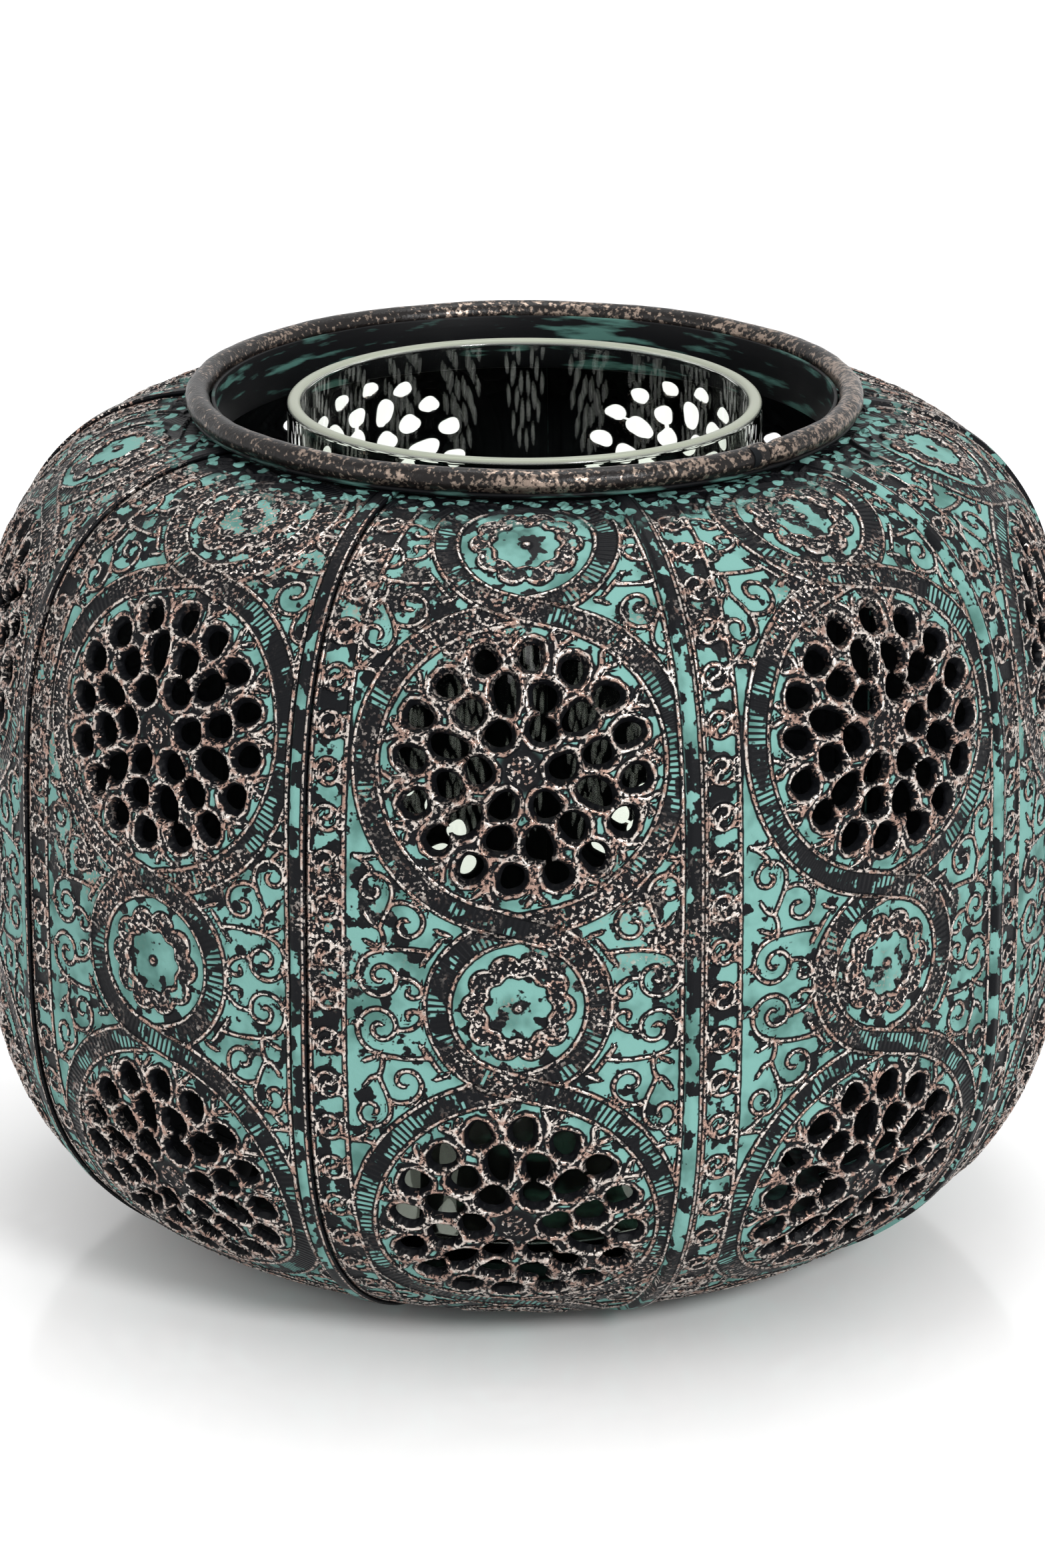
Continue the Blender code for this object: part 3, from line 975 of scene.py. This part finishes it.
    # Verdigris is a dry powder with hardly any sheen, so the specular level is low.
    feeds = {
        "Base Color": add("Mix", {0: bare, 6: base, 7: metal}, **COLOURS),
        "Metallic": add("Math", (bare, 0.85), operation="MULTIPLY"),
        "Specular IOR Level": 0.1,
        "Roughness": add(
            "Math", (bare, -0.22, add("MapRange", (black, 0.0, 1.0, 0.62, 0.46))), operation="MULTIPLY_ADD"
        ),
        "Normal": add("Bump", {"Strength": 1.0, "Distance": MM, "Height": relief}),
    }
    finish.feed(finish.shader, feeds)
    return finish.material


def sooty_metal(colours):
    """Sheet blackened on the inside: nearly no light comes back from it."""
    finish = Finish("blackened_sheet_inside")
    place = finish.add("TexCoord", out="Object")
    mottle = finish.add("TexNoise", {"Vector": place, "Scale": 1 / (4 * MM), "Detail": 4.0})
    feeds = {
        "Base Color": finish.add("Mix", {0: mottle, 6: colours.soot[:], 7: linear("#14171A")}, **COLOURS),
        "Roughness": 0.7,
        "Specular IOR Level": 0.1,
        "Normal": finish.add("Bump", {"Strength": 0.4, "Distance": 0.1 * MM, "Height": mottle}),
    }
    finish.feed(finish.shader, feeds)
    return finish.material


def smeared_metal(colours):
    """Black sheet with verdigris wiped over it: teal shows in long thin smears."""
    finish = Finish("black_sheet_with_verdigris_smears")
    place = finish.add("TexCoord", out="Object")
    # Seven times as long as they are tall.
    stretched = finish.add("Mapping", {"Vector": place, "Scale": (1.0, 1.0, 7.0)})
    smear = finish.add("TexNoise", {"Vector": stretched, "Scale": 1 / (14 * MM), "Detail": 6.0})
    share = finish.add("MapRange", (smear, 0.54, 0.64, 0.0, 0.85))
    feeds = {
        "Base Color": finish.add("Mix", {0: share, 6: colours.soot[:], 7: colours.patina_deep[:]}, **COLOURS),
        "Roughness": 0.45,
        "Specular IOR Level": 0.1,
        "Normal": finish.add("Bump", {"Strength": 0.5, "Distance": 0.1 * MM, "Height": smear}),
    }
    finish.feed(finish.shader, feeds)
    return finish.material


def rubbed_bead_metal(colours):
    """Rolled sheet edge, blackened and rubbed: bright and brown metal in fine speckles along its top, more of
    them on the right as painted light.
    """
    finish = Finish("blackened_bead_rubbed_bright")
    add = finish.add
    place = add("TexCoord", out="Object")
    # As on the panels, the specks are drawn a little coarser than real ones.
    speck = add("TexNoise", {"Vector": place, "Scale": 1 / (0.6 * MM), "Detail": 4.0})
    grit = add("TexNoise", {"Vector": place, "Scale": 1 / (1.1 * MM), "Detail": 3.0})
    patch = add("TexNoise", {"Vector": place, "Scale": 1 / (16 * MM), "Detail": 3.0})
    both = add("Math", (add("Math", (patch, 0.7, speck), operation="MULTIPLY_ADD"), grit), operation="ADD")
    # Painted light: more pale metal is bared towards the right, the side the key light falls on, and less
    # towards the left.
    lit_side_bias = add("MapRange", (add("SeparateXYZ", (place,)), -0.05, 0.05, -0.05, 0.05))
    bare = add("MapRange", (add("Math", (both, lit_side_bias), operation="ADD"), 1.36, 1.54), **SMOOTH)
    metal = add("Mix", {0: grit, 6: linear("#3E302A"), 7: linear("#B09E90")}, **COLOURS)
    feeds = {
        "Base Color": add("Mix", {0: bare, 6: linear("#120E0D"), 7: metal}, **COLOURS),
        "Metallic": add("Math", (bare, 0.9), operation="MULTIPLY"),
        "Specular IOR Level": 0.25,
        "Roughness": 0.32,
        "Normal": add("Bump", {"Strength": 0.8, "Distance": 0.12 * MM, "Height": speck}),
    }
    finish.feed(finish.shader, feeds)
    return finish.material


def pressed_glass():
    """Soda-lime glass: clear walls, and a lip that is a little rough, less clear and painted a pale
    green-grey as a painted highlight, for the light that its edge catches.

    Its index is 1.52. A little less keeps what is seen through the thick wall in its place.
    """
    finish = Finish("clear_soda_lime_glass")
    climb = finish.add("SeparateXYZ", (finish.add("TexCoord", out="Object"),), out="Z")
    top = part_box("glass_insert")[1].z
    lip = finish.add("MapRange", (climb, top - 0.9 * MM, top - 0.3 * MM), **SMOOTH)
    feeds = {
        # Painted highlight: the lip's pale green-grey stands in for the light that its edge catches.
        "Base Color": finish.add("Mix", {0: lip, 6: linear("#F1F5EE"), 7: linear("#B9BFAB")}, **COLOURS),
        "Transmission Weight": finish.add("MapRange", (lip, 0.0, 1.0, 1.0, 0.45)),
        "IOR": 1.42,
        "Roughness": finish.add("MapRange", (lip, 0.0, 1.0, 0.0, 0.3)),
    }
    finish.feed(finish.shader, feeds)
    return finish.material


# ---------------------------------------------------------------- stage


class LANTERN_OT_stage(bpy.types.Operator):
    """Build the white table, the soft lights and the camera"""

    bl_idname = "lantern.stage"
    bl_label = "Stage"

    AIM = Vector((0, 0, 0.0699))
    CAMERA_FAR = 1.1166
    CAMERA_RISE = math.radians(18.62)
    CAMERA_TURN = math.radians(0.6)
    LENS = 153.06
    SHIFT = (-0.0013, 0.0187)

    def execute(self, context):
        self.floor()
        self.world(context.scene)
        self.light("key", (0.55, -1.00, 0.66), 0.30, 10)
        self.light("fill", (-0.90, -0.55, 0.55), 0.60, 1.5)
        self.light("top", (0.05, 0.25, 1.20), 0.60, 4)
        self.camera(context.scene)
        # Keeps the floor white and the patina as dark and as saturated as it is.
        context.scene.view_settings.view_transform = "Standard"
        return {"FINISHED"}

    def floor(self):
        """A sheet of glossy white acrylic, which mirrors the holder's foot faintly."""
        bpy.ops.mesh.primitive_plane_add(size=6)
        floor = named("floor")
        finish = Finish("white_gloss_acrylic_sheet")
        finish.feed(finish.shader, {"Base Color": (0.95, 0.95, 0.95), "Roughness": 0.12})
        floor.data.materials.append(finish.material)

    def world(self, scene):
        world = bpy.data.worlds.new("white_studio")
        scene.world = world
        world.use_nodes = True
        background = world.node_tree.nodes["Background"]
        background.inputs["Color"].default_value = (1, 1, 1, 1)
        background.inputs["Strength"].default_value = 1.0

    def light(self, name, place, size, power):
        data = bpy.data.lights.new(name, "AREA")
        data.shape = "DISK"
        data.size = size
        data.energy = power
        lamp = bpy.data.objects.new(name, data)
        bpy.context.scene.collection.objects.link(lamp)
        lamp.location = place
        lamp.rotation_euler = (self.AIM - Vector(place)).to_track_quat("-Z", "Y").to_euler()

    def camera(self, scene):
        data = bpy.data.cameras.new("camera")
        data.lens = self.LENS
        data.shift_x, data.shift_y = self.SHIFT
        data.clip_end = 20
        camera = bpy.data.objects.new("camera", data)
        scene.collection.objects.link(camera)
        rise, turn = self.CAMERA_RISE, self.CAMERA_TURN
        level = math.cos(rise)
        back = Vector((level * math.sin(turn), -level * math.cos(turn), math.sin(rise)))
        camera.location = self.AIM + back * self.CAMERA_FAR
        camera.rotation_euler = (-back).to_track_quat("-Z", "Y").to_euler()
        scene.camera = camera


class LANTERN_PT_sidebar(bpy.types.Panel):
    """Sizes, colours and the steps that build the holder"""

    bl_label = "Tealight holder"
    bl_idname = "LANTERN_PT_sidebar"
    bl_space_type = "VIEW_3D"
    bl_region_type = "UI"
    bl_category = "Tealight holder"

    def draw(self, context):
        for name in GROUPS:
            group = getattr(context.scene, name)
            box = self.layout.box()
            for key in group.__annotations__:
                box.prop(group, key)
        for operator in OPERATORS:
            self.layout.operator(operator.bl_idname)


GROUPS = {"lantern_body": BodySizes, "lantern_pattern": PatternSizes, "lantern_finish": FinishColours}
OPERATORS = (LANTERN_OT_panels, LANTERN_OT_neck, LANTERN_OT_foot, LANTERN_OT_glass, LANTERN_OT_stage)


def register():
    for group in GROUPS.values():
        bpy.utils.register_class(group)
    for name, group in GROUPS.items():
        setattr(bpy.types.Scene, name, bpy.props.PointerProperty(type=group))
    for operator in OPERATORS:
        bpy.utils.register_class(operator)
    bpy.utils.register_class(LANTERN_PT_sidebar)


def unregister():
    bpy.utils.unregister_class(LANTERN_PT_sidebar)
    for operator in reversed(OPERATORS):
        bpy.utils.unregister_class(operator)
    for name, group in reversed(list(GROUPS.items())):
        delattr(bpy.types.Scene, name)
        bpy.utils.unregister_class(group)


def main():
    register()
    select_none()
    bpy.ops.lantern.panels()
    bpy.ops.lantern.neck()
    bpy.ops.lantern.foot()
    bpy.ops.lantern.glass()
    bpy.ops.lantern.stage()


if __name__ == "__main__":
    main()
